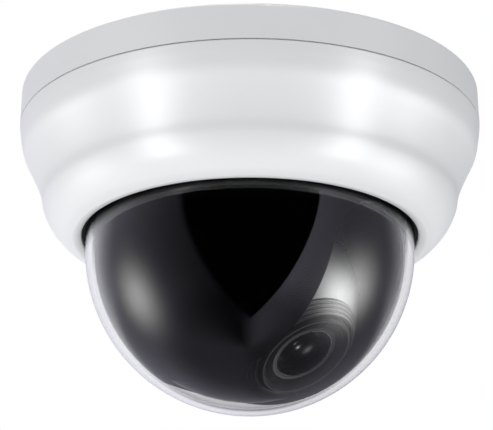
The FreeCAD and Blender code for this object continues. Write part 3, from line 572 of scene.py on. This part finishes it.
def add_shutter():
    """Curved strip that closes the slot beyond the lens, hollowed round it, with rounded edges."""
    outer_r = LINER_R - LINER_WALL - SHUTTER_GAP
    sight = Vector((math.sin(TILT), 0.0, -math.cos(TILT)))
    gimbal = Vector((0.0, 0.0, GIMBAL_Z))

    def spot(radius, degrees, y):
        a, flat = math.radians(degrees), math.sqrt(radius * radius - y * y)
        return Vector((flat * math.sin(a), y, LINER_Z - flat * math.cos(a)))

    def near_end(y):
        low, high = -SHUTTER_FAR_DEG, SHUTTER_NEAR_DEG
        for _ in range(24):
            middle = (low + high) / 2
            off = spot(outer_r, middle, y) - gimbal
            if (off - sight * off.dot(sight)).length > SHUTTER_HOLE_R:
                low = middle
            else:
                high = middle
        return low

    columns, rows = 48, 60
    bm = bmesh.new()
    skins = []
    for radius in (outer_r, outer_r - SHUTTER_WALL):
        skin = []
        for i in range(columns + 1):
            y = SHUTTER_HALF * (2 * i / columns - 1)
            end = near_end(y)
            skin.append([bm.verts.new(spot(radius, -SHUTTER_FAR_DEG + (end + SHUTTER_FAR_DEG) * k / rows, y))
                         for k in range(rows + 1)])
        for i in range(columns):
            for k in range(rows):
                bm.faces.new((skin[i][k], skin[i + 1][k], skin[i + 1][k + 1], skin[i][k + 1]))
        skins.append(skin)
    rims = []
    for skin in skins:
        there = [skin[i][0] for i in range(columns)] + [skin[columns][k] for k in range(rows)]
        back = [skin[i][rows] for i in range(columns, 0, -1)] + [skin[0][k] for k in range(rows, 0, -1)]
        rims.append(there + back)
    for i in range(len(rims[0])):
        bm.faces.new((rims[0][i], rims[0][i - 1], rims[1][i - 1], rims[1][i]))
    bmesh.ops.recalc_face_normals(bm, faces=bm.faces)
    hard = [e for e in bm.edges if e.calc_face_angle(0.0) > math.radians(50)]
    bmesh.ops.bevel(bm, geom=hard, offset=0.22, segments=2, profile=0.5, affect="EDGES")
    return piece("shutter", bm, YOKE, "slot_shutter", "black_liner", ["slot_shutter"], 40.0)


def add_gasket():
    outline = [
        (BUBBLE_R + 0.05, BUBBLE_TOP_Z), (FLANGE_R, BUBBLE_TOP_Z), (FLANGE_R, SEAT_Z),
        (OPENING_R - 0.05, SEAT_Z), (OPENING_R - 0.05, SEAT_Z - 1.7), (BUBBLE_R + 0.05, SEAT_Z - 1.7),
    ]
    turned("gasket", outline, BODY, "cover", "seal_rubber", ["bubble_gasket"], 0.2, 200)


# --- gimbal and lens pieces ---
def add_eyeball():
    back = math.degrees(math.asin(EYE_BACK / EYE_R))
    front = math.degrees(math.asin(EYE_FRONT / EYE_R))
    hollow = EYE_R - EYE_WALL
    top = EYE_FORWARD + EYE_FRONT
    outline = arc(EYE_R, EYE_FORWARD, back, front, 40)
    outline += [(EYE_HOLE_R, top), (EYE_HOLE_R, top - EYE_WALL)]
    outline += arc(hollow, EYE_FORWARD, 43.0, math.degrees(math.asin(EYE_BACK / hollow)), 24)
    bm = lathe(bmesh.new(), soften(outline, 0.25, steps=3), 192)
    root = EYE_FORWARD + EYE_BACK + 0.6
    ear = [(-PIVOT_EAR_R, root)]
    for degrees in range(180, 361, 10):
        ear.append(polar(PIVOT_EAR_R, degrees))
    ear.append((PIVOT_EAR_R, root))
    upright = Matrix(((1, 0, 0, 0), (0, 0, 1, 0), (0, 1, 0, 0), (0, 0, 0, 1)))
    for side in (-1, 1):
        low, high = sorted((side * PIVOT_EAR_INSIDE, side * PIVOT_EAR_OUTSIDE))
        prism(bm, ear, low, high, upright, 0.3)
    return piece("eyeball", bm, LENS, "tilt_head", "black_shroud", ["eyeball_shell"], 36.0)


def add_bezel():
    base = EYE_FORWARD + EYE_FRONT
    outline = [(BEZEL_HOLE_R, base)]
    for i in range(BEZEL_STEPS):
        r = BEZEL_R - BEZEL_STEP_IN * i
        z = base + BEZEL_STEP_H * i
        outline += [(r, z), (r, z + 0.62), (r - 0.22, z + 0.66), (r - 0.22, z + BEZEL_STEP_H)]
    outline.append((BEZEL_HOLE_R, base + BEZEL_STEP_H * BEZEL_STEPS))
    return turned("bezel", outline, LENS, "tilt_head", "black_shroud", ["stepped_bezel"], 0.16, 192)


def add_front_housing():
    """Front of the lens, with a conical wall of fine anti-glare rings inside it."""
    top = LENS_FRONT
    outline = [(9.06, 25.5), (10.8, 25.5), (10.8, 27.0), (LENS_FRONT_R, 27.0), (LENS_FRONT_R, top - 0.4),
               (13.2, top), (12.7, top), (12.2, top - 0.5)]
    outer, inner, rings = 12.0, 9.4, 5
    for i in range(rings):
        r = outer + (inner - outer) * i / rings
        z = top - 0.62 - 0.12 * i
        outline += [(r, z), (r - 0.3, z - 0.28), (r - 0.36, z - 0.06)]
    step = top - RETAINER_DEPTH
    outline += [(9.3, step), (RETAINER_R, step), (RETAINER_R, GLASS_BACK_Z), (5.7, GLASS_BACK_Z),
                (5.7, 28.4), (9.06, 28.4)]
    return turned("front_ring", outline, LENS, "front_group", "lens_black", ["front_housing"], 0.12, 192)


def add_lens_glass():
    """Front glass: domed in front, and behind with a convex middle inside a conical hollow."""
    sphere = (GLASS_R ** 2 + GLASS_BULGE ** 2) / (2 * GLASS_BULGE)
    edge = math.degrees(math.acos(GLASS_R / sphere))
    middle_centre = GLASS_BACK_Z + GLASS_BACK_SPHERE + 0.35
    outline = arc(sphere, GLASS_TOP_Z - sphere, edge, 90, 20)
    outline += arc(GLASS_BACK_SPHERE, middle_centre, -90, -60, 8)
    outline = [p for p in outline if p[0] <= GLASS_R] + [(GLASS_R, GLASS_BACK_Z + 0.05)]
    return turned("lens_front_glass", outline, LENS, "front_group", "lens_glass", ["front_glass"],
                  0.0, 128, 20.0)


def add_ring():
    top = LENS_FRONT - RETAINER_DEPTH
    outline = [(GLASS_R, 30.0), (RETAINER_R, 30.0), (RETAINER_R, top), (8.22, top), (8.05, top - 0.5),
               (GLASS_R, 31.2)]
    return turned("retainer", outline, LENS, "front_group", "bright_ring", ["front_retaining_ring"],
                  0.12, 160)


def add_floor():
    """Plain pale floor, seen by the camera but in no reflection."""
    half, depth = 6.0, -0.9
    mesh = bpy.data.meshes.new("floor")
    corners = [(-half, -half, depth), (half, -half, depth), (half, half, depth), (-half, half, depth)]
    mesh.from_pydata(corners, [], [(0, 1, 2, 3)])
    mesh.materials.append(moulded("floor_pale", (0.82, 0.82, 0.82), 0.6, scale=40.0, tone=0.01))
    plane = bpy.data.objects.new("floor", mesh)
    bpy.context.scene.collection.objects.link(plane)
    plane.visible_glossy = False
    plane.visible_transmission = False
    plane.visible_diffuse = False
    return plane


add_camera()
add_world()
finish = make_materials()
dress_cad_nodes()

cover = add_cover()
add_bubble()
add_gasket()
add_shutter()
eyeball = add_eyeball()
bezel = add_bezel()
front = add_front_housing()
ring = add_ring()
glass = add_lens_glass()

white = [cover] + [frame["nodes"][name] for name in ("mounting_base", "snap_ring", "side_entry_plug")]
add_lamp("strip_left", -50.0, STRIP_HEIGHT, STRIP_SIZE, STRIP_POWER, white)
add_lamp("strip_right", 55.0, STRIP_HEIGHT, STRIP_SIZE, STRIP_POWER, white)
add_lamp("shroud_lamp", 92.0, 0.0, (0.9, 0.9), 54.0, [eyeball, bezel])
add_lamp("lens_lamp", 135.0, -38.0, (0.14, 0.14), 0.75, [front, ring])
add_lamp("rim_lamp", 120.0, 22.0, (1.2, 1.2), 48.0, [front, ring])
add_lamp("glass_lamp", 135.0, -38.0, (0.14, 0.14), 0.13, [glass])

floor = add_floor()
add_overhead("floor_light", 1.7, 1.6, [floor])
add_overhead("top_light", 1.4, 0.2, [frame["nodes"]["mounting_base"]])
